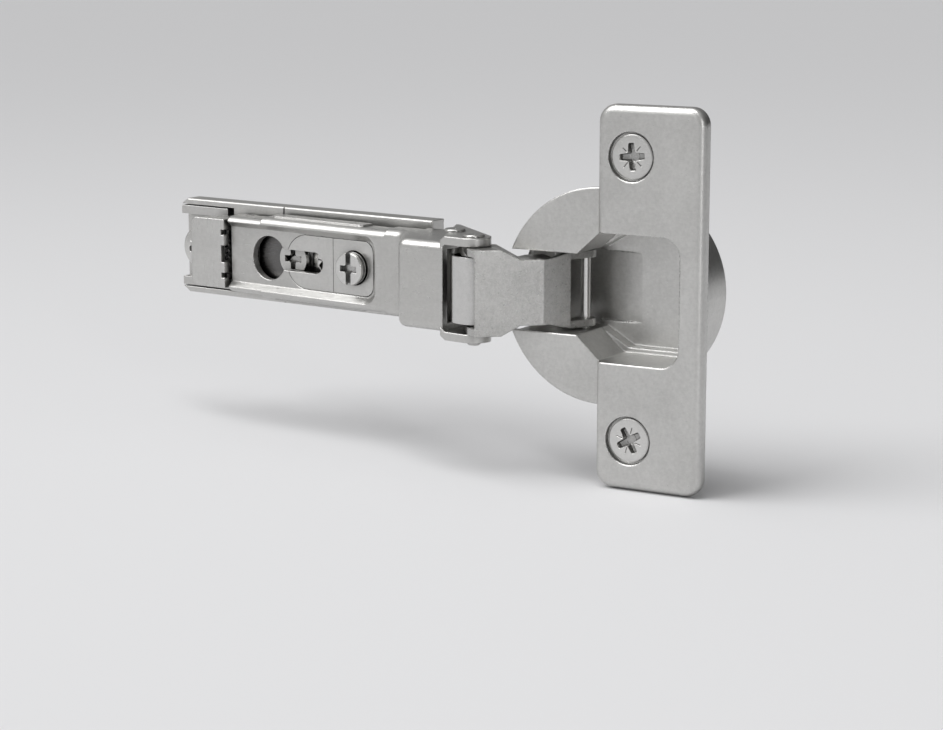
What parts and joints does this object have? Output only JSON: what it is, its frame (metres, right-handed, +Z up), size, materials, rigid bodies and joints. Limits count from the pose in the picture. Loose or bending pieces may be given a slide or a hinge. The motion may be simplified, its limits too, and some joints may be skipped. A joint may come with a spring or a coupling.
{
  "type": "concealed cup hinge",
  "caption": "Concealed cup hinge with an adjustable arm on a mounting plate, two links and a flanged cup, its door open.",
  "frame": {"origin": "midway between the two cabinet screws, on the cabinet side's face", "axes": "+X along the arm to the cabinet's front edge, +Y into the cabinet side, +Z up along the hinge pins"},
  "size_m": [0.1207, 0.0332, 0.065],
  "materials": {
    "satin_nickel": "satin",
    "die_cast_nickel": "satin",
    "polished_nickel": "polished",
    "spring_steel": "satin"
  },
  "bodies": {
    "base": {"mounting_plate": "die_cast_nickel", "plate_screws": "polished_nickel"},
    "cam": {"depth_cam": "polished_nickel"},
    "slider": {"plate_slider": "satin_nickel", "guide_channel": "satin_nickel", "lever_pin": "polished_nickel", "lever_spring": "spring_steel"},
    "lever": {"release_lever": "satin_nickel"},
    "side_screw": {"side_adjust_screw": "polished_nickel"},
    "arm": {"arm": "satin_nickel", "adjuster_plate": "satin_nickel", "side_adjust_tab": "satin_nickel", "tilt_pin": "polished_nickel", "outer_arm_pin": "polished_nickel", "inner_arm_pin": "polished_nickel", "spring_sleeve": "polished_nickel", "closing_spring": "spring_steel"},
    "outer_link": {"outer_link": "satin_nickel"},
    "inner_link": {"inner_link": "satin_nickel", "inner_link_pin": "polished_nickel"},
    "cup": {"cup": "die_cast_nickel", "cup_pin": "polished_nickel", "cup_screws": "polished_nickel"}
  },
  "joints": [
    {"name": "depth_cam_turn", "type": "hinge", "parent": "base", "child": "cam", "pos_m": [0.0088, -0.0035, 0], "axis": [0, -1, 0], "range_deg": [-54, 54]},
    {"name": "depth_slide", "type": "slide", "parent": "base", "child": "slider", "axis": [1, 0, 0], "range_m": [-0.0012, 0.0012]},
    {"name": "release_lever_press", "type": "hinge", "parent": "slider", "child": "lever", "pos_m": [-0.0093, -0.0055, 0], "axis": [0, 0, 1], "range_deg": [-12, 0]},
    {"name": "side_screw_turn", "type": "hinge", "parent": "slider", "child": "side_screw", "pos_m": [0.0253, -0.006, 0], "axis": [0, 1, 0], "range_deg": [-139.7, 349.3]},
    {"name": "arm_tilt", "type": "hinge", "parent": "slider", "child": "arm", "pos_m": [-0.0025, -0.0052, 0], "axis": [0, 0, 1], "range_deg": [-2, 0.8]},
    {"name": "door_swing", "type": "hinge", "parent": "arm", "child": "outer_link", "pos_m": [0.0572, -0.0159, 0], "axis": [0, 0, 1], "range_deg": [0, 33.12]},
    {"name": "inner_link_swing", "type": "hinge", "parent": "arm", "child": "inner_link", "pos_m": [0.0501, -0.0117, 0], "axis": [0, 0, 1], "range_deg": [0, 53.61]},
    {"name": "cup_swing", "type": "hinge", "parent": "outer_link", "child": "cup", "pos_m": [0.0717, -0.003, 0], "axis": [0, 0, 1], "range_deg": [-128.62, 0]}
  ],
  "couplings": [
    {"joint": "depth_cam_turn", "follows": "depth_slide", "rad_per_m": 785.4},
    {"joint": "side_screw_turn", "follows": "arm_tilt", "ratio": -174.67},
    {"joint": "inner_link_swing", "follows": "door_swing", "ratio": 1.6185},
    {"joint": "cup_swing", "follows": "door_swing", "ratio": -3.8833}
  ]
}
